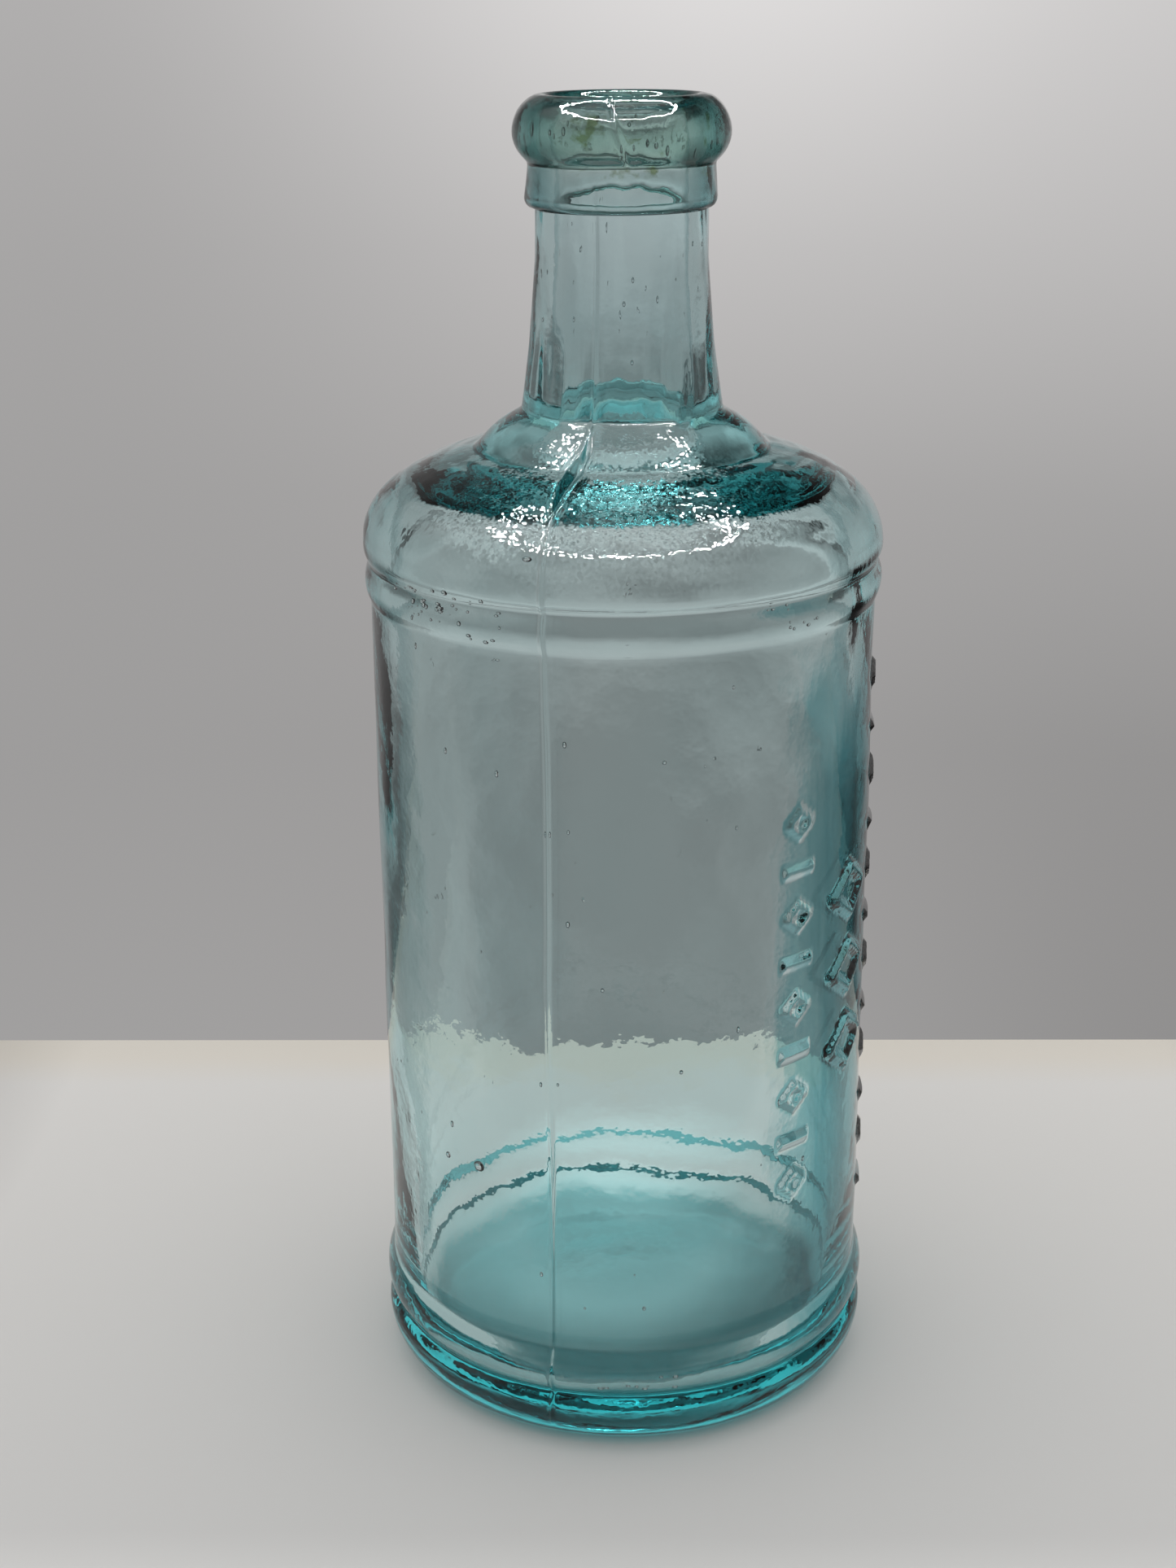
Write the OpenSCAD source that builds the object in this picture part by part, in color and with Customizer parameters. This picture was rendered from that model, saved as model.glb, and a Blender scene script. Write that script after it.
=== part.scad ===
// A round mould-blown glass bottle with two base rings, a shoulder ring and a lip that was laid
// on by hand. The axis is +Z, the bottle stands on z = 0, and -Y is its front. Millimetres.

/* [Body] */
// Radius of the straight wall
body_r = 36.7; // [35.8:0.1:37.2]
// Thickness of the straight wall
wall = 3.2; // [2.4:0.1:4.2]
// Height of the inside floor at its edge
floor_z = 8.5; // [7:0.1:11]
// Rise of the hollow under the base, the push-up
push_up = 1.5; // [0.8:0.1:3]

/* [Base rings] */
// Radius of the rounded heel
heel_r = 7; // [6:0.1:8]
// Radius of the lower base ring, which runs into the heel
lower_ring_r = 37.8; // [37.5:0.1:38]
// Radius at the bottom of the groove between the two base rings
groove_r = 36.1; // [35.6:0.1:36.6]
// Height of the groove between the two base rings
groove_z = 9.3; // [8.6:0.1:9.8]
// Radius of the upper base ring
upper_ring_r = 37.9; // [37.4:0.1:38]
// Height at which the upper base ring meets the wall
upper_ring_top = 16.8; // [15:0.1:18]

/* [Shoulder] */
// Height of the lower edge of the shoulder ring
shoulder_ring_z = 122.8; // [122:0.1:124]
// Radius of the shoulder ring
shoulder_ring_r = 37.5; // [37.3:0.1:37.8]
// Height of the widest part of the shoulder
shoulder_z = 130.6; // [130:0.1:131.4]
// Radius of the widest part of the shoulder
shoulder_r = 37.6; // [37.5:0.1:37.9]
// Radius of the shoulder's rounded edge
shoulder_round = 10; // [9:0.1:10.6]

/* [Neck] */
// Radius of the edge of the collar at the foot of the neck
collar_r = 21; // [20:0.1:21.6]
// Height of that edge
collar_z = 143.9; // [143.4:0.1:144.4]
// Radius of the foot of the neck
neck_foot_r = 14.4; // [14:0.1:15]
// Height of the foot of the neck
neck_foot_z = 149.2; // [148.6:0.1:150]
// Outer radius of the neck under the lip
neck_r = 12.1; // [11.9:0.1:12.5]
// Radius of the mouth's bore
bore_r = 9.7; // [9:0.1:10.2]

/* [Lip] */
// Overall height, to the top of the lip
total_h = 192.3; // [191.6:0.1:194]
// Radius of the rounded lip
lip_r = 15.1; // [14.6:0.1:15.6]
// Height of the crease between the lip and its skirt
crease_z = 183.3; // [182.4:0.1:184]
// Radius of the skirt's lower part
skirt_r = 13.4; // [13:0.1:13.8]
// Height of the skirt's lower edge
skirt_z = 177.1; // [176.4:0.1:178]

/* [Relief] */
// Height of the raised marks and seams above the wall
relief = 0.6; // [0.3:0.05:0.7]
// Width of a mould seam
seam_w = 0.6; // [0.5:0.1:1.2]

/* [Hidden] */

$fn = 96;
arc_steps = 10;

// Push-up and resting ring
rest_outer_r = lower_ring_r - heel_r;
rest_inner_r = rest_outer_r - 4;

// Inside of the bottle
inner_r = body_r - wall;
floor_round = 4;
floor_crown = 0.8;
shoulder_in_r = inner_r + 0.4;
shoulder_in_round = 8;
shoulder_in_drop = 0.2;
shoulder_in_turn = 66;
bore_foot_z = 149;
flare_r = 10;
flare_turn = 84;
mouth_round = 1;

// Neck, from the foot up to the straight part
neck_mid = [neck_r + 0.95, neck_foot_z + 9.7];
neck_top_z = 171;
collar_bulge = 0.6;

// Shoulder, from its rounded edge in to the collar
shoulder_turn = 54;
dome_bulge = 0.85;
shoulder_groove = [body_r, 128.3];

// Lip
crease_r = neck_r + 0.85;
skirt_round = 1.3;
skirt_bulge = 0.35;
lip_land_z = total_h;

// Raised marks, in columns up the wall: azimuth from the front, heights and sizes
mark_depth = 1.2;
small_mark = [6, 4.6];
small_stroke = 1;
large_mark = [13, 9];
large_stroke = 1.6;
bar_h = 1.2;
seam_azimuths = [-16.5, 163.5];
seam_inset = 3;

// Points of a circular arc about a centre
function arc(centre, r, from, to, steps = arc_steps) =
    [for (i = [0:steps])
        let (a = from + (to - from) * i / steps)
        centre + r * [cos(a), sin(a)]];

// Points of a circular arc from p to q that stands out by bulge to the right of that direction
function bead(p, q, bulge, steps = arc_steps) =
    let (
        chord = q - p,
        len = norm(chord),
        side = [chord.y, -chord.x] / len,
        r = (len * len / 4 + bulge * bulge) / (2 * bulge),
        c = (p + q) / 2 + side * (bulge - r),
        from = atan2(p.y - c.y, p.x - c.x),
        to = atan2(q.y - c.y, q.x - c.x)
    )
    arc(c, r, from, to, steps);

// How far a bead from p to q stands out so that it reaches radius r
function bulge_to(p, q, r) = r - (p.x + q.x) / 2;

// Outside of the blown glass, from the middle of the base to the top of the neck
function outside() =
    let (
        groove = [groove_r, groove_z],
        ring_top = [body_r, upper_ring_top],
        ring_foot = [body_r, shoulder_ring_z],
        dome_centre = [shoulder_r - shoulder_round, shoulder_z],
        dome_end = dome_centre + shoulder_round * [cos(shoulder_turn), sin(shoulder_turn)],
        collar = [collar_r, collar_z],
        neck_foot = [neck_foot_r, neck_foot_z]
    )
    concat(
        [for (i = [0:arc_steps])
            let (t = i / arc_steps)
            [rest_inner_r * t, push_up * (1 + cos(180 * t)) / 2]],
        arc([rest_outer_r, heel_r], heel_r, -90, 0),
        bead([lower_ring_r, heel_r + 0.4], groove, 0.25, 4),
        bead(groove, ring_top, bulge_to(groove, ring_top, upper_ring_r)),
        bead(ring_foot, shoulder_groove, bulge_to(ring_foot, shoulder_groove, shoulder_ring_r)),
        bead(shoulder_groove, [shoulder_r, shoulder_z - 0.3], 0.2, 4),
        arc(dome_centre, shoulder_round, 0, shoulder_turn),
        bead(dome_end, collar, dome_bulge),
        bead(collar, neck_foot, collar_bulge, 6),
        [neck_mid, [neck_r, neck_top_z], [neck_r, lip_land_z]]
    );

// Inside of the blown glass, from the mouth down to the middle of the floor
function inside() =
    let (
        flare_centre = [bore_r + flare_r, bore_foot_z],
        dome_centre = [shoulder_in_r - shoulder_in_round, shoulder_z - shoulder_in_drop],
        floor_centre = [inner_r - floor_round, floor_z + floor_round]
    )
    concat(
        arc([bore_r + mouth_round, lip_land_z - mouth_round], mouth_round, 90, 180, 4),
        arc(flare_centre, flare_r, 180, 180 + flare_turn),
        arc(dome_centre, shoulder_in_round, shoulder_in_turn, 0),
        [[inner_r, shoulder_ring_z - 1]],
        arc(floor_centre, floor_round, 0, -90),
        [[0, floor_z + floor_crown]]
    );

// One raised mark: a flat shape pushed out through the wall at an azimuth and a height
module raised(azimuth, z) {
    rotate([0, 0, azimuth - 90])
        translate([body_r - mark_depth, 0, z])
            rotate([90, 0, 90])
                linear_extrude(height = 2 * mark_depth)
                    children();
}

// A lozenge of the given width and height
module lozenge(size) {
    polygon([[-size.x / 2, 0], [0, -size.y / 2], [size.x / 2, 0], [0, size.y / 2]]);
}

// A lozenge drawn as an outline with a stroke of the given width
module open_lozenge(size, stroke) {
    difference() {
        lozenge(size);
        lozenge(size * (1 - 2 * stroke * norm(size) / (size.x * size.y)));
    }
}

// A short level bar
module bar() {
    square([small_mark.x, bar_h], center = true);
}

// Three columns of plain marks, which stand where moulded lettering would
module marks() {
    for (i = [0:8]) {
        raised(42, 40 + 7 * i)
            if (i % 2 == 0) open_lozenge(small_mark, small_stroke);
            else bar();
    }
    for (i = [0:2])
        raised(63, 58 + 12 * i)
            open_lozenge(large_mark, large_stroke);
    for (i = [0:11]) {
        raised(87, 28 + 7.5 * i)
            if (i % 2 == 0) bar();
            else open_lozenge(small_mark, small_stroke);
    }
}

// The two seams that the mould's halves left up the wall
module seams() {
    for (a = seam_azimuths)
        rotate([0, 0, a - 90])
            translate([body_r - mark_depth, -seam_w / 2, upper_ring_top - seam_inset])
                cube([2 * mark_depth, seam_w,
                      shoulder_ring_z - upper_ring_top + 2 * seam_inset]);
}

// A thin skin around the wall, which trims the marks and seams to their height
module relief_skin() {
    difference() {
        translate([0, 0, upper_ring_top - seam_inset])
            cylinder(r = body_r + relief, h = shoulder_ring_z - upper_ring_top + 2 * seam_inset);
        cylinder(r = body_r - wall / 2, h = total_h);
    }
}

module bottle_body() {
    color([0.45, 0.70, 0.70]) {
        union() {
            rotate_extrude()
                polygon(concat(outside(), inside()));
            intersection() {
                relief_skin();
                union() {
                    marks();
                    seams();
                }
            }
        }
    }
}

module applied_lip() {
    crease = [crease_r, crease_z];
    skirt_foot = [neck_r, skirt_z];
    lip_top = [neck_r, lip_land_z];
    color([0.50, 0.74, 0.74])
        rotate_extrude()
            polygon(concat(
                bead(skirt_foot, [skirt_r, skirt_z + skirt_round], skirt_bulge, 6),
                bead(crease, lip_top, bulge_to(crease, lip_top, lip_r), 16)
            ));
}

bottle_body();
applied_lip();
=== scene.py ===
"""Looks of the glass ink bottle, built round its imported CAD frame.

Shapes are worked out in millimetres, with +Z up the bottle's axis and -Y its front, and scaled to
metres when a mesh is made. An azimuth is an angle in degrees from -Y towards +X.
"""

import bpy
import numpy as np
from mathutils import Matrix


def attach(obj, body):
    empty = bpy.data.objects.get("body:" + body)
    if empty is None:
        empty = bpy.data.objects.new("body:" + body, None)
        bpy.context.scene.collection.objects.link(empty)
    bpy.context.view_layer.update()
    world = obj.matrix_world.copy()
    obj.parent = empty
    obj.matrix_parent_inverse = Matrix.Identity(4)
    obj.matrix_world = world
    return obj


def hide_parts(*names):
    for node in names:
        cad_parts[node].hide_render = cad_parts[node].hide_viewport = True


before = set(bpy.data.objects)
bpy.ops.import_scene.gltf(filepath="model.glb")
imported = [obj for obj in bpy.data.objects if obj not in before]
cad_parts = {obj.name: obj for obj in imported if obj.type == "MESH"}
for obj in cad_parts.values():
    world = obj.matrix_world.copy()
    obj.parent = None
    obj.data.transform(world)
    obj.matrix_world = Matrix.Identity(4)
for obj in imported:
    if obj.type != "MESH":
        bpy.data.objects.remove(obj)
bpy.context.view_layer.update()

MM = 0.001
rng = np.random.default_rng(7)

# ---------------------------------------------------------------- profile sizes, in millimetres

BODY_R, WALL = 36.7, 3.2
INNER_R = BODY_R - WALL
HEEL_R, LOWER_RING_R = 7.0, 37.8
GROOVE = (36.1, 9.3)
UPPER_RING_R, UPPER_RING_TOP = 37.9, 16.8
PUSH_UP, REST_RING = 1.5, 4.0
RING_FOOT_Z, RING_R, SHOULDER_GROOVE = 122.8, 37.5, (36.7, 128.3)
SHOULDER_R, SHOULDER_Z, SHOULDER_ROUND, SHOULDER_TURN = 37.6, 130.6, 10.0, 54
DOME_BULGE, COLLAR_BULGE = 0.85, 0.6
COLLAR, NECK_FOOT, NECK_MID = (21.0, 143.9), (14.4, 149.2), (13.05, 158.9)
NECK_R, NECK_TOP_Z = 12.1, 171.0
BORE_R, BORE_FOOT_Z, FLARE_R, FLARE_TURN = 9.7, 149.0, 10.0, 84
FLOOR_Z, FLOOR_ROUND, FLOOR_CROWN = 8.5, 4.0, 0.8
DOME_IN_R, DOME_IN_ROUND, DOME_IN_Z, DOME_IN_TURN = INNER_R + 0.4, 8.0, 130.4, 66
TOTAL_H = 192.3
SKIRT_Z, SKIRT_R, SKIRT_ROUND, SKIRT_BULGE = 177.1, 13.45, 1.3, 0.35
CREASE, LIP_R = (12.95, 183.3), 15.1
NECK_END_Z, MOUTH_ROUND = 190.4, 0.9

# How far corners are rounded: outside and inside of the body, outside and inside of the lip
SOFT_OUT, SOFT_IN, SOFT_LIP_OUT, SOFT_LIP_IN = 0.4, 0.9, 0.35, 0.15

RELIEF = 0.6
SEAMS = (-16.5, 163.5)
SEAM_WIDTH, SEAM_HEIGHTS = 0.6, (0.32, 0.08)
WALL_FOOT, WALL_HEAD = (17, 19), (120, 122)

# Raised marks: width, height and stroke of an open lozenge, and width and height of a bar
SMALL_LOZENGE, LARGE_LOZENGE, BAR = (6, 4.6, 1.0), (13, 9, 1.6), (6, 1.2)


# ---------------------------------------------------------------- profiles


def arc(centre, radius, start, end, steps=40):
    """Points on a circular arc, angles in degrees."""
    a = np.radians(np.linspace(start, end, steps))
    return np.column_stack((centre[0] + radius * np.cos(a), centre[1] + radius * np.sin(a)))


def bead(p, q, reach, steps=40):
    """Points on an arc from p to q that reaches the radius given."""
    p, q = np.array(p, float), np.array(q, float)
    chord = q - p
    length = np.hypot(*chord)
    side = np.array((chord[1], -chord[0])) / length
    bulge = reach - (p[0] + q[0]) / 2
    radius = (length**2 / 4 + bulge**2) / (2 * bulge)
    centre = (p + q) / 2 + side * (bulge - radius)
    start = np.degrees(np.arctan2(*(p - centre)[::-1]))
    end = np.degrees(np.arctan2(*(q - centre)[::-1]))
    return arc(centre, radius, start, end, steps)


def bowed(p, q, bulge):
    """Points on an arc from p to q that stands out by bulge from their chord."""
    p, q = np.array(p, float), np.array(q, float)
    chord = q - p
    side = np.array((chord[1], -chord[0])) / np.hypot(*chord)
    t = np.linspace(0, 1, 30)[:, None]
    return p + chord * t + side * bulge * 4 * t * (1 - t)


def softened(parts, sigma):
    """One path through all the parts, its corners rounded by a Gaussian of sigma millimetres."""
    path = np.vstack(parts)
    step = np.hypot(*np.diff(path, axis=0).T)
    along = np.concatenate(([0], np.cumsum(step)))
    keep = np.concatenate(([True], step > 1e-9))
    fine = 0.05
    s = np.arange(0, along[-1], fine)
    path = np.column_stack([np.interp(s, along[keep], path[keep, i]) for i in (0, 1)])
    reach = int(4 * sigma / fine)
    kernel = np.exp(-0.5 * (np.arange(-reach, reach + 1) * fine / sigma) ** 2)
    kernel /= kernel.sum()
    wide = np.pad(path, ((reach, reach), (0, 0)), mode="reflect", reflect_type="odd")
    return np.column_stack([np.convolve(wide[:, i], kernel, "valid") for i in (0, 1)])


def spaced(path, longest, turn=6.0, shortest=0.3, fine=()):
    """The path with fewer points: no step is over longest, and between the heights (low, high) in
    fine none is over its step. A step turns by turn degrees, unless that makes it under shortest."""
    d = np.gradient(path, axis=0)
    length = np.hypot(*d.T)
    heading = np.unwrap(np.arctan2(d[:, 1], d[:, 0]))
    bend = np.abs(np.gradient(heading)) / length
    step = np.clip(np.radians(turn) / np.maximum(bend, 1e-6), shortest, longest)
    for low, high, most in fine:
        step = np.where((path[:, 1] > low) & (path[:, 1] < high), np.minimum(step, most), step)
    rows = np.concatenate(([0], np.cumsum(length / step)[1:]))
    picked = np.linspace(0, rows[-1], int(rows[-1]) + 1)
    return np.column_stack([np.interp(picked, rows, path[:, i]) for i in (0, 1)])


def outer_path():
    """Profile of the body's outside, from the middle of the base to the end of the neck."""
    rest_outer = LOWER_RING_R - HEEL_R
    rest_inner = rest_outer - REST_RING
    t = np.linspace(0, 1, 60)
    dome = (SHOULDER_R - SHOULDER_ROUND, SHOULDER_Z)
    turn = np.radians(SHOULDER_TURN)
    dome_end = (dome[0] + SHOULDER_ROUND * np.cos(turn), dome[1] + SHOULDER_ROUND * np.sin(turn))
    return softened(
        [
            np.column_stack((rest_inner * t, PUSH_UP * (1 + np.cos(np.pi * t)) / 2)),
            arc((rest_outer, HEEL_R), HEEL_R, -90, 0),
            bowed((LOWER_RING_R, HEEL_R + 0.4), GROOVE, 0.25),
            bead(GROOVE, (BODY_R, UPPER_RING_TOP), UPPER_RING_R),
            bead((BODY_R, RING_FOOT_Z), SHOULDER_GROOVE, RING_R),
            bowed(SHOULDER_GROOVE, (SHOULDER_R, SHOULDER_Z - 0.3), 0.2),
            arc(dome, SHOULDER_ROUND, 0, SHOULDER_TURN),
            bowed(dome_end, COLLAR, DOME_BULGE),
            bowed(COLLAR, NECK_FOOT, COLLAR_BULGE),
            [NECK_MID, (NECK_R, NECK_TOP_Z), (NECK_R, NECK_END_Z - 0.5)],
            [(NECK_R - 0.5, NECK_END_Z), (BORE_R + MOUTH_ROUND, NECK_END_Z)],
        ],
        SOFT_OUT,
    )


def inner_path():
    """Profile of the body's inside, from the mouth down to the middle of the floor."""
    return softened(
        [
            arc((BORE_R + MOUTH_ROUND, NECK_END_Z - MOUTH_ROUND), MOUTH_ROUND, 90, 180),
            arc((BORE_R + FLARE_R, BORE_FOOT_Z), FLARE_R, 180, 180 + FLARE_TURN),
            arc((DOME_IN_R - DOME_IN_ROUND, DOME_IN_Z), DOME_IN_ROUND, DOME_IN_TURN, 0),
            [(INNER_R, RING_FOOT_Z - 1)],
            arc((INNER_R - FLOOR_ROUND, FLOOR_Z + FLOOR_ROUND), FLOOR_ROUND, 0, -90),
            [(0, FLOOR_Z + FLOOR_CROWN)],
        ],
        SOFT_IN,
    )


# ---------------------------------------------------------------- surface relief


def smooth(x, low, high):
    """0 below low, 1 above high, and a smooth step between."""
    t = np.clip((x - low) / (high - low), 0, 1)
    return t * t * (3 - 2 * t)


def waves(azimuth, z, count, turns, lengths, size, seed):
    """A gentle random surface: waves with whole numbers of turns round the axis."""
    draw = np.random.default_rng(seed)
    total = np.zeros(np.broadcast(azimuth, z).shape)
    for _ in range(count):
        m = draw.integers(turns[0], turns[1] + 1)
        up = 2 * np.pi / draw.uniform(*lengths) * draw.choice((-1, 1))
        total = total + np.cos(m * np.radians(azimuth) + up * z + draw.uniform(0, 2 * np.pi))
    return total * size * np.sqrt(2 / count)


def lozenge(u, v, width, height):
    """Distance inside the edge of a lozenge, in millimetres; negative outside."""
    slope = np.hypot(width, height) / (width * height)
    return (0.5 - np.abs(u) / width - np.abs(v) / height) / slope


def open_lozenge(u, v, width, height, stroke):
    """The same for a lozenge drawn as an outline."""
    inside = lozenge(u, v, width, height)
    return np.minimum(inside, stroke - inside)


def bar(u, v, width, height):
    """Distance inside the edge of a level bar."""
    return np.minimum(width / 2 - np.abs(u), height / 2 - np.abs(v))


def marks(azimuth, z):
    """Distance inside the nearest raised mark. The marks stand in three columns, each given by its
    azimuth, the height of its lowest mark, its pitch and its marks from the bottom up."""
    small, large, level = (open_lozenge, *SMALL_LOZENGE), (open_lozenge, *LARGE_LOZENGE), (bar, *BAR)
    mark_columns = [
        (42, 40, 7, [small, level] * 4 + [small]),
        (63, 58, 12, [large] * 3),
        (87, 28, 7.5, [level, small] * 6),
    ]
    inside = np.full(np.broadcast(azimuth, z).shape, -9.0)
    for at, low, pitch, shapes in mark_columns:
        u = np.radians(azimuth - at) * BODY_R
        for i, (shape, *size) in enumerate(shapes):
            inside = np.maximum(inside, shape(u, z - low - pitch * i, *size))
    return inside


def crease(azimuth, r, z):
    """Depth of the fold that runs along the front seam, from the collar down the shoulder."""
    line = np.interp(r, (19.3, 21, 32, 36), (-15.0, -17.2, -17.0, -16.3))
    half_width = np.interp(r, (17, 21, 27, 36), (0.2, 0.75, 0.55, 0.15))
    depth = np.interp(r, (17.5, 20, 24, 30, 35.5), (0, 0.95, 0.9, 0.45, 0)) * (z > 134)
    u = np.radians(azimuth - line) * r / half_width
    return depth * np.exp(-(u**2)) - 0.25 * depth * np.exp(-((np.abs(u) - 1.9) ** 2))


def outer_relief(azimuth, r, z):
    """How far the outside stands out from its profile, in millimetres."""
    wall = smooth(z, *WALL_FOOT) * (1 - smooth(z, *WALL_HEAD))
    out = RELIEF * smooth(marks(azimuth, z), -0.3, 0.35) * wall
    for seam, height in zip(SEAMS, SEAM_HEIGHTS):
        off = (azimuth - seam + 180) % 360 - 180 + 0.2 * np.sin(z / 9)
        u = np.radians(off) * r
        ridge = np.exp(-((u / (SEAM_WIDTH / 2)) ** 2))
        out = out + height * ridge * (smooth(z, 2, 8) - 0.5 * smooth(z, 140, 152)) * (z < 176)
    out = out - crease(azimuth, r, z)
    away = smooth(r, 2, 12) * smooth(z, 1.5, 12)
    out = out + away * waves(azimuth, z, 14, (1, 9), (18, 70), 0.05, 11)
    out = out + away * waves(azimuth, z, 20, (12, 30), (8, 30), 0.012, 12) * smooth(z, 16, 40)
    neck = smooth(z, 148, 153) * (1 - smooth(z, 172, 175))
    out = out + neck * waves(azimuth, z, 14, (5, 16), (40, 120), 0.02, 14)
    streaks = smooth(z, 127, 133) * (1 - smooth(z, 146, 151))
    return out + streaks * waves(azimuth, z - 1.2 * r, 24, (1, 9), (2.5, 7), 0.02, 13)


def inner_relief(azimuth, r, z):
    """The same for the inside, where a negative value makes the glass thicker."""
    away = smooth(r, 2, 14)
    body = smooth(r, 11, 26)
    out = away * waves(azimuth, z, 10, (1, 6), (40, 140), 0.12, 21) * (0.4 + 0.6 * body)
    out = out + away * body * waves(azimuth, z, 12, (7, 15), (60, 200), 0.03, 22)
    out = out + away * body * waves(azimuth, z, 16, (16, 30), (30, 90), 0.008, 23)
    dome = smooth(z, 125, 133) * smooth(r, 12, 18)
    out = out + dome * waves(azimuth, z - r, 18, (5, 18), (5, 16), 0.035, 24)
    foot = smooth(z, 144, 150) * (1 - smooth(z, 157, 165))
    out = out + foot * waves(azimuth, z, 12, (10, 26), (15, 60), 0.05, 25)
    thick_side = np.clip(np.cos(np.radians(azimuth - 80)), 0, 1) ** 2 * smooth(z, 14, 30)
    return out - 0.8 * thick_side * (1 - smooth(z, 95, 118))


# ---------------------------------------------------------------- meshes


def columns(spans, coarse):
    """Azimuths round the axis, closer together inside the spans given as (low, high, step)."""
    found = [-180.0]
    while found[-1] < 180:
        at = found[-1]
        found.append(at + min([step for low, high, step in spans if low < at < high], default=coarse))
        for low, high, step in spans:
            if at < low < found[-1]:
                found[-1] = low + step / 2
    found = np.array(found[:-1])
    return found if 180 - found[-1] > 0.3 else found[:-1]


def ring_points(path, azimuths, relief):
    """Rows of points, each ring moved along its profile's normal by relief(azimuth, r, z)."""
    d = np.gradient(path, axis=0)
    normal = np.column_stack((d[:, 1], -d[:, 0])) / np.hypot(*d.T)[:, None]
    a = azimuths[None, :]
    r, z = path[:, :1], path[:, 1:]
    out = relief(a, r, z)
    rr = r + normal[:, :1] * out
    zz = z + normal[:, 1:] * out
    angle = np.radians(a)
    return np.stack((rr * np.sin(angle), -rr * np.cos(angle), zz + 0 * angle), axis=-1)


class Shell:
    """Collects the points and faces of one mesh."""

    def __init__(self):
        self.points, self.faces = [], []

    def add(self, points):
        start = len(self.points)
        self.points.extend(points.tolist())
        return np.arange(start, len(self.points))

    def band(self, low, high):
        """Quads between two rings with the same number of points."""
        quads = np.column_stack((low, np.roll(low, -1), np.roll(high, -1), high))
        self.faces.extend(quads.tolist())

    def rings(self, rows):
        """Adds rows of rings, joined by quads, and returns the indices of each ring."""
        index = np.stack([self.add(row) for row in rows])
        for low, high in zip(index[:-1], index[1:]):
            self.band(low, high)
        return index

    def cap(self, ring, point, flip=False):
        """Closes a ring with triangles to one point."""
        tip = self.add(np.array([point]))[0]
        for a, b in zip(ring, np.roll(ring, -1)):
            self.faces.append([b, a, tip] if flip else [a, b, tip])

    def join(self, full, thin, every):
        """Joins a full ring to a thin one, whose points match those listed in every."""
        count = len(thin)
        for i in range(count):
            low, high = every[i], every[i + 1] if i + 1 < count else len(full)
            edge = [full[j % len(full)] for j in range(low, high + 1)]
            self.faces.append([*edge, thin[(i + 1) % count], thin[i]])

    def bubble(self, azimuth, r, z, radii):
        """A closed hollow inside the glass, its faces turned inwards. The radii are its half sizes
        across, in depth and upwards."""
        across, along = 10, 7
        a = np.radians(azimuth)
        side = np.array((np.cos(a), np.sin(a), 0))
        out = np.array((np.sin(a), -np.cos(a), 0))
        up = np.array((0, 0, 1.0))
        centre = out * r + up * z
        rows = []
        for t in np.linspace(0, np.pi, along)[1:-1]:
            p = np.linspace(0, 2 * np.pi, across, endpoint=False)
            flat = np.sin(t) * (np.cos(p)[:, None] * side * radii[0] + np.sin(p)[:, None] * out * radii[1])
            rows.append(centre + flat + up * radii[2] * np.cos(t))
        index = self.rings(rows)
        self.cap(index[0], centre + up * radii[2], flip=True)
        self.cap(index[-1], centre - up * radii[2])

    def finish(self, name):
        """Makes the mesh object, in metres."""
        mesh = bpy.data.meshes.new(name)
        mesh.from_pydata((np.array(self.points) * MM).tolist(), [], self.faces)
        mesh.validate()
        mesh.polygons.foreach_set("use_smooth", [True] * len(mesh.polygons))
        mesh.update()
        piece = bpy.data.objects.new(name, mesh)
        bpy.context.scene.collection.objects.link(piece)
        return piece


# Seeds in the wall: azimuth, radius, height, and half sizes across, in depth and upwards
WALL_SEEDS = [
    (-46, 35.1, 43.2, 0.5, 0.35, 0.5),
    (-36, 35.2, 43.5, 0.95, 0.5, 0.85),
    (-20.4, 35.6, 135.1, 0.7, 0.4, 0.35),
    (9, 35.0, 107.6, 0.3, 0.2, 0.3),
]

# Crowds of dark specks near the outside: azimuths, heights, how many, and the largest half size
SPECKS = [
    ((-60, -26), (123.5, 129.5), 34, 0.34),
    ((-52, -42), (125, 127), 10, 0.4),
    ((32, 48), (124, 129), 12, 0.25),
    ((-8, 12), (10.5, 12.5), 9, 0.3),
]


# How many small seeds are scattered in the wall, the neck and the lip
SMALL_WALL_SEEDS, NECK_SEEDS, LIP_SEEDS = 90, 34, 60

# Mesh spacing. The outside is finer at the marks and the front seam, by azimuth in degrees, and at
# the marks and the collar, by height. The inside keeps only points that are INSIDE_STEP apart.
FINE_AZIMUTHS, COARSE_AZIMUTH, INSIDE_STEP = [(36, 93, 0.5), (-21.5, -12, 0.3)], 2.6, 2.4
FINE_HEIGHTS, COARSE_HEIGHT = [(24, 114, 0.67), (138, 147, 0.45)], 3.0


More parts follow.
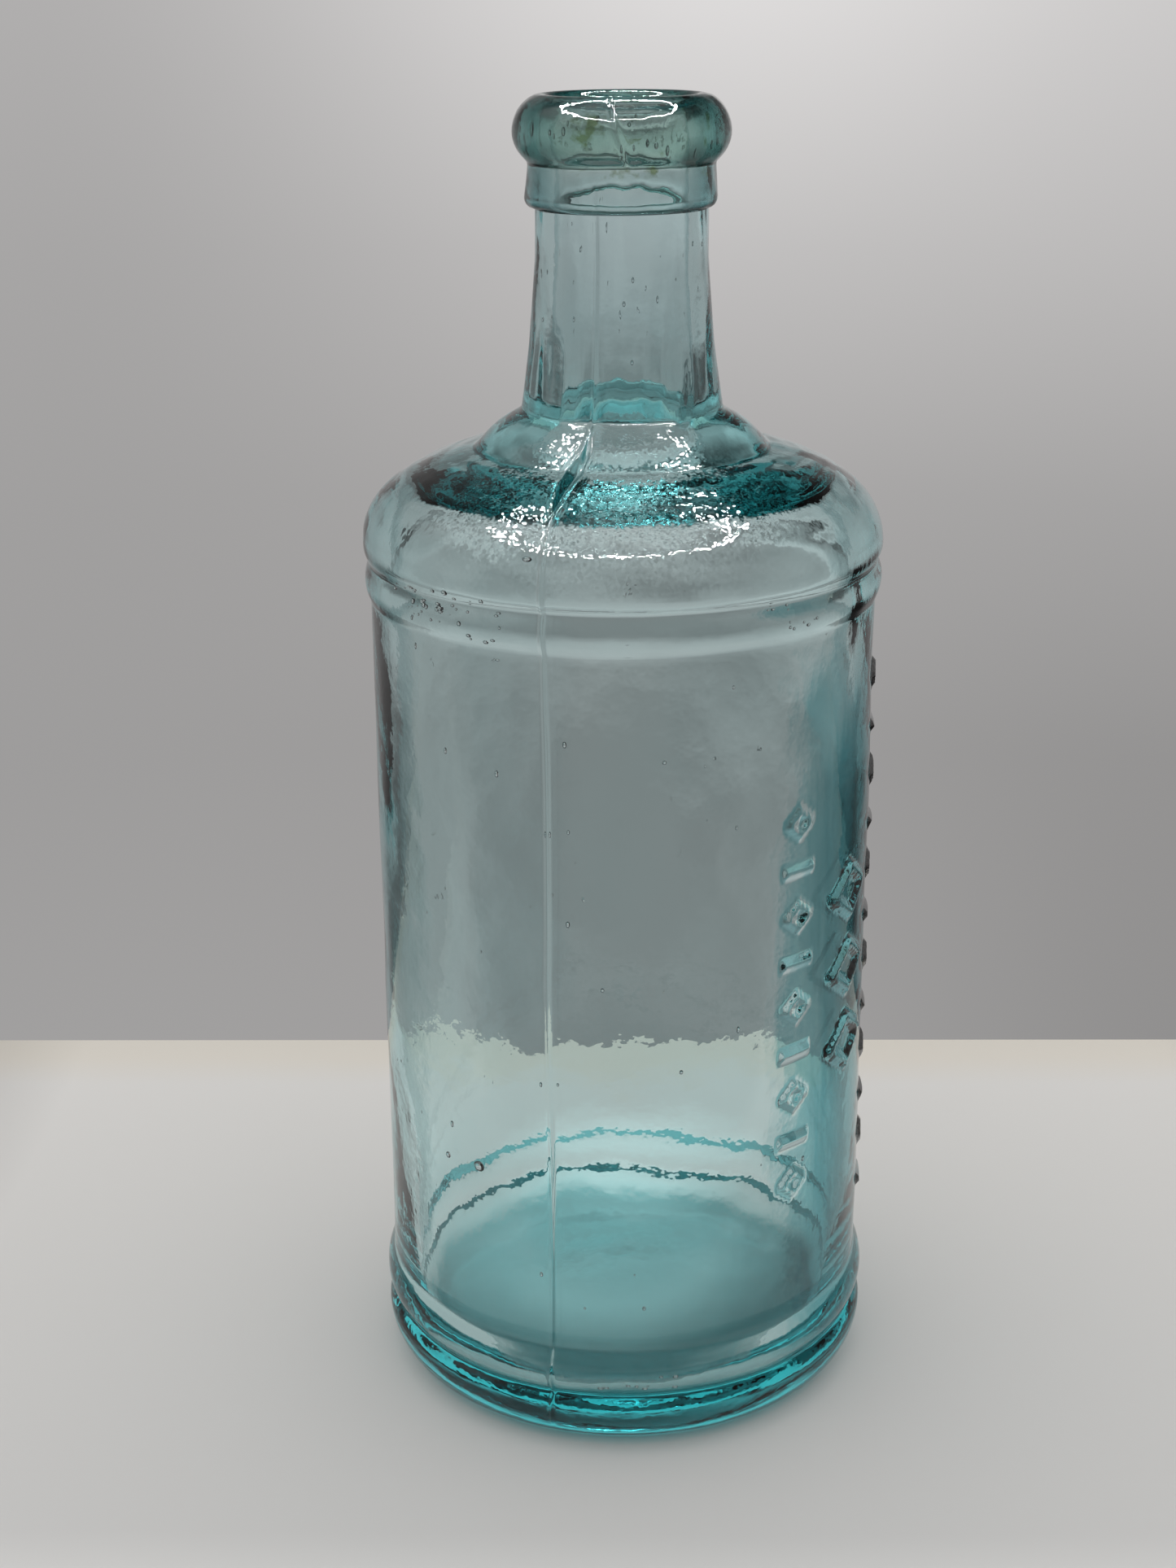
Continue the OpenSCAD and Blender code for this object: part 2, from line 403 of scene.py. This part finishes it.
def make_body():
    """The blown body: outside, inside and the seeds between them."""
    shell = Shell()
    azimuths = columns(FINE_AZIMUTHS, COARSE_AZIMUTH)
    every = [0]
    for i, a in enumerate(azimuths):
        if a - azimuths[every[-1]] > INSIDE_STEP:
            every.append(i)
    outer = spaced(outer_path(), COARSE_HEIGHT, fine=FINE_HEIGHTS)
    inner = spaced(inner_path(), COARSE_HEIGHT, turn=7)
    outside = ring_points(outer[1:], azimuths, outer_relief)
    inside = ring_points(inner[:-1], azimuths[every], inner_relief)
    out_index = shell.rings(outside)
    in_index = shell.rings(inside)
    shell.cap(out_index[0], (0, 0, PUSH_UP), flip=True)
    shell.cap(in_index[-1], (0, 0, FLOOR_Z + FLOOR_CROWN))
    shell.join(out_index[-1], in_index[0], every)
    for azimuth, r, z, *radii in WALL_SEEDS:
        shell.bubble(azimuth, r, z, radii)
    for azimuths_in, heights_in, count, largest in SPECKS:
        for _ in range(count):
            azimuth, z = rng.uniform(*azimuths_in), rng.uniform(*heights_in)
            size = rng.uniform(0.1, largest)
            shell.bubble(azimuth, rng.uniform(35.2, 35.9), z, (size * rng.uniform(1, 2), size, size))
    for _ in range(SMALL_WALL_SEEDS):
        azimuth, z = rng.uniform(-180, 180), rng.uniform(22, 122)
        size = 0.13 + 0.25 * rng.uniform(0, 1) ** 2
        shell.bubble(azimuth, rng.uniform(34.9, 35.6), z, (size, size * 0.7, size * rng.uniform(1, 2)))
    for _ in range(NECK_SEEDS):
        azimuth, z = rng.uniform(-180, 180), rng.uniform(157, 176)
        size = rng.uniform(0.1, 0.22)
        shell.bubble(azimuth, rng.uniform(10.7, 11.3), z, (size, size, size * rng.uniform(1.5, 4)))
    return shell.finish("glass_body")


def make_lip():
    """The lip that was laid round the neck's end. It sinks a little into the neck all round."""
    shell = Shell()
    azimuths = columns([(-24, 14, 0.75)], 3.0)
    in_neck = NECK_R - 0.15
    outside = softened(
        [
            [(in_neck, SKIRT_Z - 0.1)],
            bowed((NECK_R, SKIRT_Z), (SKIRT_R, SKIRT_Z + SKIRT_ROUND), SKIRT_BULGE),
            bead(CREASE, (NECK_R + 0.4, TOTAL_H - 0.35), LIP_R),
            arc((NECK_R - 0.9, TOTAL_H - 1.6), 1.6, 80, 180),
            [(BORE_R, NECK_END_Z - 0.2), (BORE_R, NECK_END_Z - 0.8)],
        ],
        SOFT_LIP_OUT,
    )
    inside = softened(
        [
            [(BORE_R + 0.15, NECK_END_Z - 0.9)],
            arc((BORE_R + 0.9, NECK_END_Z - 0.95), 0.75, 180, 90),
            [(NECK_R - 0.6, NECK_END_Z - 0.2), (in_neck, NECK_END_Z - 0.6), (in_neck, SKIRT_Z + 0.1)],
        ],
        SOFT_LIP_IN,
    )

    def lip_relief(azimuth, r, z):
        out = waves(azimuth, z, 12, (1, 6), (8, 40), 0.07, 31)
        out = out + waves(azimuth, z, 12, (8, 24), (5, 20), 0.02, 32)
        lap = azimuth - (-6 + 9 * (191.3 - z) / 7.3)
        groove = np.exp(-((np.radians(lap) * r / 0.35) ** 2)) * smooth(z, 183, 184.5)
        return (out - 0.3 * groove) * smooth(r, NECK_R - 0.1, NECK_R + 0.4)

    def still(azimuth, r, z):
        return 0 * azimuth * r

    index = shell.rings(ring_points(spaced(outside, 0.8), azimuths, lip_relief))
    back = shell.rings(ring_points(spaced(inside, 1.5), azimuths, still))
    shell.band(index[-1], back[0])
    shell.band(back[-1], index[0])
    for _ in range(LIP_SEEDS):
        azimuth, z = rng.uniform(-180, 180), rng.uniform(184.5, 190)
        size = rng.uniform(0.12, 0.3)
        shell.bubble(azimuth, rng.uniform(12.6, 13.8), z, (size, size, size * rng.uniform(1, 3)))
    return shell.finish("lip")


# ---------------------------------------------------------------- materials


def add_node(tree, kind, links=(), **values):
    """Adds a node, sets its properties or input values by name, and links sockets into it."""
    made = tree.nodes.new(kind)
    for name, value in values.items():
        if hasattr(made, name):
            setattr(made, name, value)
        else:
            made.inputs[name.replace("_", " ")].default_value = value
    for name, socket in links:
        tree.links.new(socket, made.inputs[name])
    return made


def span(tree, value, low, high, start=0.0, end=1.0):
    """The value's place between low and high, given out as start to end."""
    made = add_node(tree, "ShaderNodeMapRange", [("Value", value)])
    for name, number in (("From Min", low), ("From Max", high), ("To Min", start), ("To Max", end)):
        made.inputs[name].default_value = number
    return made.outputs["Result"]


def distance(tree, place, point):
    """How far the place is from a point."""
    made = add_node(tree, "ShaderNodeVectorMath", [("Vector", place)], operation="DISTANCE")
    made.inputs[1].default_value = point
    return made.outputs["Value"]


def add(tree, a, b):
    """The sum of two values."""
    return add_node(tree, "ShaderNodeMath", [(0, a), (1, b)], operation="ADD").outputs["Value"]


def size_of(tree, value):
    """The value without its sign."""
    return add_node(tree, "ShaderNodeMath", [(0, value)], operation="ABSOLUTE").outputs["Value"]


def scaled(tree, value, factor, offset):
    """The value times a number, plus another value."""
    made = add_node(tree, "ShaderNodeMath", [(0, value), (2, offset)], operation="MULTIPLY_ADD")
    made.inputs[1].default_value = factor
    return made.outputs["Value"]


def vector(tree, operation, *links):
    """The result of vector maths on the sockets or fixed numbers given, in input order."""
    made = add_node(tree, "ShaderNodeVectorMath", operation=operation)
    for socket, value in zip(made.inputs, links):
        if isinstance(value, tuple):
            socket.default_value = value
        else:
            tree.links.new(value, socket)
    return made.outputs["Vector"]


def noise(tree, place, scale, detail):
    made = add_node(tree, "ShaderNodeTexNoise", [("Vector", place)], Scale=scale, Detail=detail)
    return made.outputs["Fac"]


def times(tree, a, b):
    """The product of two colours."""
    links = [("Color1", a), ("Color2", b)]
    return add_node(tree, "ShaderNodeMixRGB", links, blend_type="MULTIPLY", Fac=1.0).outputs["Color"]


def ramp(tree, factor, stops):
    """A colour ramp. Each stop is a position with one grey level or three colour levels."""
    made = add_node(tree, "ShaderNodeValToRGB", [("Fac", factor)])
    while len(made.color_ramp.elements) < len(stops):
        made.color_ramp.elements.new(0.5)
    for element, (at, colour) in zip(made.color_ramp.elements, stops):
        element.position = at
        element.color = (*colour, 1) if len(colour) == 3 else (*colour * 3, 1)
    return made.outputs["Color"]


# Bumps in the glass: noise scale per metre, detail, and height in metres
BUMPS = [(420.0, 2.0, 0.00003), (90.0, 1.0, 0.00018)]
# Tiny facets on the front of the shoulder and on the lip, which break the lamp's glint into beads:
# how many to a metre, and how far they lean there
FACETS, FACET_TILT, LIP_TILT = 2300.0, 0.12, 0.036
# The facets fill an oval, wider across the bottle than along it: its middle, in places squeezed by
# GLINT_SQUEEZE, and how far from it they begin and finish fading out
GLINT_SQUEEZE, GLINT_MIDDLE, GLINT_FADE = (0.6, 1.0, 1.0), (-0.0006, -0.0225, 0.139), (0.0115, 0.0155)

# Tints that stand for thicker glass, as ramps: towards the right side, and by height. The darker tint at the
# rim, in glass_tint, is painted shade.
THICK_SIDE = [(0.2, (1.0,)), (0.6, (0.32, 0.64, 0.68))]
THICK_FROM, THICK_TO, THICK_LOWER = 0.0265, 0.0365, -0.012
STOREYS = [
    (0.75, (1.0,)),
    (0.80, (0.94, 0.98, 0.99)),
    (0.88, (0.94, 0.98, 0.99)),
    (0.912, (1.0,)),
    (0.925, (0.93, 0.95, 0.93)),
]
STAIN_MIDDLE, STAIN_COLOUR = (-0.0049, -0.0141, 0.1885), (0.30, 0.33, 0.14, 1)


def glass_normal(tree, place, z):
    """The surface's normal, with gentle bumps and the facets that catch the lamp."""
    squeezed = vector(tree, "MULTIPLY", place, GLINT_SQUEEZE)
    from_glint = distance(tree, squeezed, GLINT_MIDDLE)
    pitted = span(tree, from_glint, *GLINT_FADE, FACET_TILT, 0.0)
    tooled = span(tree, z, 0.185, 0.188, 0.0, LIP_TILT)
    normal = None
    for scale, detail, height in BUMPS:
        links = [("Height", noise(tree, place, scale, detail))] + ([("Normal", normal)] if normal else [])
        normal = add_node(tree, "ShaderNodeBump", links, Strength=1.0, Distance=height).outputs["Normal"]
    cells = add_node(tree, "ShaderNodeTexVoronoi", [("Vector", place)], Scale=FACETS)
    lean = vector(tree, "SUBTRACT", cells.outputs["Color"], (0.5, 0.5, 0.5))
    links = [(0, lean), ("Scale", add(tree, pitted, tooled))]
    leaning = add_node(tree, "ShaderNodeVectorMath", links, operation="SCALE").outputs["Vector"]
    return vector(tree, "NORMALIZE", vector(tree, "ADD", normal, leaning))


def glass_tint(tree, place, haze, edge):
    """Tints of the surface: cloudy all over, painted shade at the rim from edge on, and darker on the right
    side.
    """
    axes = add_node(tree, "ShaderNodeSeparateXYZ", [("Vector", place)])
    facing = add_node(tree, "ShaderNodeLayerWeight", Blend=0.5).outputs["Facing"]
    # Painted shade at the rim: the glass is darkened where its surface turns away from the view, from edge
    # on.
    rim_shade_stops = [
        (edge, (1.0,)),
        (edge + 0.1, (0.5, 0.62, 0.63)),
        (edge + 0.25, (0.26, 0.42, 0.44)),
        (1.0, (0.12, 0.24, 0.26)),
    ]
    grain = add_node(tree, "ShaderNodeMapping", [("Vector", place)], Scale=(700.0, 700.0, 60.0))
    streak = add_node(tree, "ShaderNodeTexNoise", [("Vector", grain.outputs["Vector"])], Scale=1.0)
    streaked_x = scaled(tree, streak.outputs["Fac"], 0.006, axes.outputs["X"])
    lowered = span(tree, axes.outputs["Z"], 0.10, 0.122, 0.0, THICK_LOWER)
    side = span(tree, add(tree, streaked_x, lowered), THICK_FROM, THICK_TO)
    tint = ramp(tree, haze, [(0.35, (0.98,)), (0.8, (0.945,))])
    tint = times(tree, tint, ramp(tree, facing, rim_shade_stops))
    tint = times(tree, tint, ramp(tree, side, THICK_SIDE))
    return times(tree, tint, ramp(tree, span(tree, axes.outputs["Z"], 0.0, 0.2), STOREYS))


def stained(tree, place, tint):
    """The tint with a few brown-green stains, most of them near one place inside the lip."""
    near = span(tree, distance(tree, place, STAIN_MIDDLE), 0.001, 0.0045, 0.22, 0.0)
    total = add(tree, noise(tree, place, 260.0, 4.0), near)
    stain = ramp(tree, total, [(0.66, (0.0,)), (0.74, (1.0,))])
    mix = add_node(tree, "ShaderNodeMixRGB", [("Fac", stain), ("Color1", tint)], Color2=STAIN_COLOUR)
    return mix.outputs["Color"]


def glass(name, density, colour, edge, stains=False):
    """Aqua glass: its colour is in its depth, and fine ripples, haze, tints and painted shade at the rim are
    on its surface.
    """
    material = bpy.data.materials.new(name)
    material.use_nodes = True
    tree = material.node_tree
    shader = tree.nodes["Principled BSDF"]
    place = add_node(tree, "ShaderNodeTexCoord").outputs["Object"]
    z = add_node(tree, "ShaderNodeSeparateXYZ", [("Vector", place)]).outputs["Z"]
    haze = noise(tree, place, 35.0, 6.0)
    tint = glass_tint(tree, place, haze, edge)
    if stains:
        tint = stained(tree, place, tint)
    tree.links.new(tint, shader.inputs["Base Color"])
    tree.links.new(glass_normal(tree, place, z), shader.inputs["Normal"])
    tree.links.new(span(tree, haze, 0.4, 0.75, 0.0, 0.05), shader.inputs["Roughness"])
    shader.inputs["Transmission Weight"].default_value = 1.0
    shader.inputs["IOR"].default_value = 1.51
    depth = add_node(tree, "ShaderNodeVolumeAbsorption", Color=(*colour, 1), Density=density)
    tree.links.new(depth.outputs["Volume"], tree.nodes["Material Output"].inputs["Volume"])
    return material


def dress(piece, material, node):
    """Gives a piece its material and puts it in place of its CAD node."""
    piece.data.materials.append(material)
    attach(piece, "root")
    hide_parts(node)


# The last number is where the painted shade at the rim begins.
body_glass = glass("aqua_glass", 39.0, (0.0, 0.83, 0.86), 0.6)
lip_glass = glass("lip_glass", 52.0, (0.0, 0.78, 0.70), 0.2, stains=True)
dress(make_body(), body_glass, "bottle_body")
dress(make_lip(), lip_glass, "applied_lip")


# ---------------------------------------------------------------- table, wall light and lamp


# Painted light and shade on the table, from the front, past the bottle, to the back edge, and painted shade
# to the sides
TABLE_LIGHT_AND_SHADE = [
    (0.0, (0.35, 0.345, 0.34)),
    (0.36, (0.40, 0.395, 0.39)),
    (0.415, (0.80, 0.79, 0.775)),
    (0.46, (0.685, 0.675, 0.665)),
    (0.9, (0.765, 0.75, 0.73)),
    (0.935, (0.76, 0.72, 0.655)),
    (1.0, (0.72, 0.68, 0.61)),
]
SIDE_SHADE = [(0.1, (1.0,)), (0.5, (0.62,)), (1.0, (0.5,))]
# Light that has come through the glass colours the table under it, from the middle outwards
THROUGH_GLASS = [(0.3, (0.8, 0.97, 1.0)), (0.5, (0.45, 0.87, 0.92)), (0.64, (0.5, 0.9, 0.94)), (0.7, (1.0,))]


def paper():
    """The table's material. Light and shade are painted on it by place: shade in front and to the sides, a
    band of light in front of the bottle, and warm shade in a creamy strip at the back edge. It glows
    faintly under and behind the bottle, a painted glow for light that the glass gathers."""
    material = bpy.data.materials.new("paper")
    material.use_nodes = True
    tree = material.node_tree
    shader = tree.nodes["Principled BSDF"]
    place = add_node(tree, "ShaderNodeTexCoord").outputs["Object"]
    axes = add_node(tree, "ShaderNodeSeparateXYZ", [("Vector", place)])
    wobbled_y = scaled(tree, noise(tree, place, 12.0, 3.0), 0.006, axes.outputs["Y"])
    # Painted light and shade along the table, from front to back, with warm shade at the back edge.
    colour = ramp(tree, span(tree, wobbled_y, -0.2, 0.12), TABLE_LIGHT_AND_SHADE)
    across = size_of(tree, axes.outputs["X"])
    # Painted shade to the sides.
    side_shaded = times(tree, colour, ramp(tree, span(tree, across, 0.1, 0.2), SIDE_SHADE))
    from_axis = span(tree, distance(tree, place, (0.0, 0.0, 0.0)), 0.0, 0.05)
    tree.links.new(times(tree, side_shaded, ramp(tree, from_axis, THROUGH_GLASS)), shader.inputs["Base Color"])
    # A painted glow under and behind the bottle, standing for light that the glass gathers.
    under = span(tree, distance(tree, place, (-0.004, 0.015, 0.0)), 0.018, 0.034, 0.28, 0.0)
    behind = span(tree, distance(tree, place, (0.0, 0.052, 0.0)), 0.012, 0.03, 0.24, 0.0)
    tree.links.new(add(tree, under, behind), shader.inputs["Emission Strength"])
    shader.inputs["Emission Color"].default_value = (0.75, 1.0, 1.0, 1)
    shader.inputs["Roughness"].default_value = 0.7
    shader.inputs["Specular IOR Level"].default_value = 0.0
    return material


def make_table():
    """A pale sheet that ends a little behind the bottle, painted with light and shade, and with a creamy
    strip of painted warm shade along that edge.
    """
    back, front, side, top, thick = 0.105, -2.0, 1.5, -0.0001, 0.01
    xs = (-side, side)
    points = [(x, y, z) for z in (top, top - thick) for y in (front, back) for x in xs]
    faces = [(0, 1, 3, 2), (4, 6, 7, 5), (0, 4, 5, 1), (2, 3, 7, 6), (0, 2, 6, 4), (1, 5, 7, 3)]
    mesh = bpy.data.meshes.new("table")
    mesh.from_pydata(points, [], faces)
    table = bpy.data.objects.new("table", mesh)
    bpy.context.scene.collection.objects.link(table)
    mesh.materials.append(paper())


def make_world():
    """A grey tent. Its back wall is lightest level with the bottle, dark above and bright straight
    overhead, and its sides and front are dimmer. The camera sees the back wall all round, and what
    is not glass is lit by an even soft light."""
    world = bpy.data.worlds.new("tent")
    bpy.context.scene.world = world
    world.cycles.sampling_method = "NONE"
    world.use_nodes = True
    tree = world.node_tree
    way = add_node(tree, "ShaderNodeSeparateXYZ")
    tree.links.new(add_node(tree, "ShaderNodeTexCoord").outputs["Generated"], way.inputs["Vector"])
    links = [(0, way.outputs["X"]), (1, way.outputs["Y"])]
    turn = add_node(tree, "ShaderNodeMath", links, operation="ARCTAN2").outputs["Value"]
    around = size_of(tree, turn)
    height = span(tree, way.outputs["Z"], -1.0, 1.0)

    def shades(heights, levels):
        """Grey levels by height, from straight down at 0 to straight up at 1."""
        return ramp(tree, height, [(h, (v, v * 0.98, v * 0.975)) for h, v in zip(heights, levels)])

    def blend(value, low, high, a, b):
        """Colour a where the value is under low, b where it is over high."""
        factor = add_node(
            tree,
            "ShaderNodeMapRange",
            [("Value", value)],
            From_Min=low,
            From_Max=high,
            interpolation_type="SMOOTHSTEP",
        )
        mix = add_node(tree, "ShaderNodeMixRGB", [("Fac", factor.outputs["Result"])])
        tree.links.new(a, mix.inputs["Color1"])
        tree.links.new(b, mix.inputs["Color2"])
        return mix.outputs["Color"]

    heights = (0.28, 0.345, 0.396, 0.446, 0.495, 0.55, 0.65, 0.75, 0.93, 0.97, 0.988)
    left = shades(heights, (0.36, 0.34, 0.355, 0.386, 0.434, 0.42, 0.30, 0.20, 0.10, 0.10, 1.3))
    middle = shades(heights, (0.345, 0.332, 0.392, 0.53, 0.72, 0.62, 0.30, 0.08, 0.03, 0.05, 1.3))
    right = shades(heights, (0.28, 0.296, 0.375, 0.50, 0.604, 0.52, 0.22, 0.03, 0.03, 0.05, 1.3))
    behind = shades(heights, (0.25, 0.247, 0.45, 0.50, 0.57, 0.50, 0.22, 0.08, 0.18, 0.2, 1.3))
    wall = blend(way.outputs["X"], 0.05, 0.24, blend(way.outputs["X"], -0.24, 0.05, left, middle), right)
    dim = (0.0, 0.30, 0.335, 0.37, 0.5, 0.6, 0.7, 0.8, 0.93, 0.975)
    left_side = shades(dim, (0.20, 0.10, 0.15, 0.38, 0.40, 0.26, 0.15, 0.12, 0.08, 0.9))
    left_flank = shades(dim, (0.25, 0.12, 0.20, 0.38, 0.40, 0.28, 0.3, 0.7, 0.9, 0.9))
    right_side = shades(dim, (0.20, 0.04, 0.08, 0.36, 0.38, 0.26, 0.12, 0.03, 0.01, 0.9))
    front = shades(dim, (0.20, 0.10, 0.10, 0.12, 0.15, 0.17, 0.17, 0.17, 0.2, 0.9))
    left_turn = blend(around, 0.85, 1.15, left_side, left_flank)
    sides = blend(way.outputs["X"], -0.05, 0.05, left_turn, right_side)
    tent = blend(around, 0.42, 0.70, blend(around, 0.03, 0.23, behind, wall), sides)
    tent = blend(around, 1.5, 2.3, tent, front)
    path = add_node(tree, "ShaderNodeLightPath")
    seen = blend(path.outputs["Is Camera Ray"], 0, 1, tent, wall)
    soft = add_node(tree, "ShaderNodeRGB").outputs["Color"]
    soft.default_value = (0.84, 0.835, 0.83, 1)
    light = blend(path.outputs["Diffuse Depth"], 0, 1, seen, soft)
    tree.links.new(light, tree.nodes["Background"].inputs["Color"])


def glow():
    """The lamps' light, which fades for rays that have passed through glass or come off the table."""
    lamp_level, last_step = 130.0, 3.0
    material = bpy.data.materials.new("lamp")
    material.use_nodes = True
    tree = material.node_tree
    tree.nodes.remove(tree.nodes["Principled BSDF"])
    path = add_node(tree, "ShaderNodeLightPath")
    depth = add_node(
        tree,
        "ShaderNodeMath",
        [(0, path.outputs["Diffuse Depth"]), (2, path.outputs["Transmission Depth"])],
        operation="MULTIPLY_ADD",
    )
    depth.inputs[1].default_value = 9.0
    glare = add_node(
        tree,
        "ShaderNodeMapRange",
        [("Value", depth.outputs["Value"])],
        interpolation_type="STEPPED",
        Steps=last_step,
        From_Max=last_step,
        To_Min=lamp_level,
        To_Max=0.0,
    )
    light = add_node(tree, "ShaderNodeEmission", [("Strength", glare.outputs["Result"])])
    tree.links.new(light.outputs["Emission"], tree.nodes["Material Output"].inputs["Surface"])
    return material


def make_lamp():
    """A ring of small lamps over the bottle. They show only as glints in the glass."""
    centre, radius, height, half = (-0.005, -0.06), 0.172, 0.40, 0.006
    points, faces = [], []
    for angle in np.radians(np.arange(0, 360, 6.0)):
        x = centre[0] + radius * np.cos(angle)
        y = centre[1] + radius * np.sin(angle)
        start = len(points)
        points += [(x + half * i, y + half * j, height) for i, j in ((-1, -1), (-1, 1), (1, 1), (1, -1))]
        faces.append(tuple(range(start, start + 4)))
    mesh = bpy.data.meshes.new("ring_lamp")
    mesh.from_pydata(points, [], faces)
    lamp = bpy.data.objects.new("ring_lamp", mesh)
    bpy.context.scene.collection.objects.link(lamp)
    mesh.materials.append(glow())
    lamp.visible_camera = False
    lamp.visible_diffuse = False
    lamp.visible_shadow = False


def make_camera():
    """The camera stands in front of the bottle, above it, and looks down at it."""
    place = (0.0, -0.3317, 0.2079)
    down, turn, roll = np.radians((19.203, 0.908, -0.429))
    forward = np.array((-np.sin(turn) * np.cos(down), np.cos(turn) * np.cos(down), -np.sin(down)))
    level = np.array((np.cos(turn), np.sin(turn), 0))
    upright = np.cross(level, forward)
    right = np.cos(roll) * level + np.sin(roll) * upright
    up = -np.sin(roll) * level + np.cos(roll) * upright
    data = bpy.data.cameras.new("camera")
    data.lens, data.sensor_width, data.sensor_fit = 53.54, 36.0, "AUTO"
    data.clip_start, data.clip_end = 0.01, 20.0
    camera = bpy.data.objects.new("camera", data)
    camera.matrix_world = Matrix(
        [[*map(float, row), p] for row, p in zip(np.column_stack((right, up, -forward)), place)]
        + [[0, 0, 0, 1]]
    )
    bpy.context.scene.collection.objects.link(camera)
    bpy.context.scene.camera = camera


make_table()
make_world()
make_lamp()
make_camera()

scene = bpy.context.scene
scene.view_settings.view_transform = "Standard"
scene.cycles.max_bounces = 24
scene.cycles.transmission_bounces = 20
scene.cycles.glossy_bounces = 8
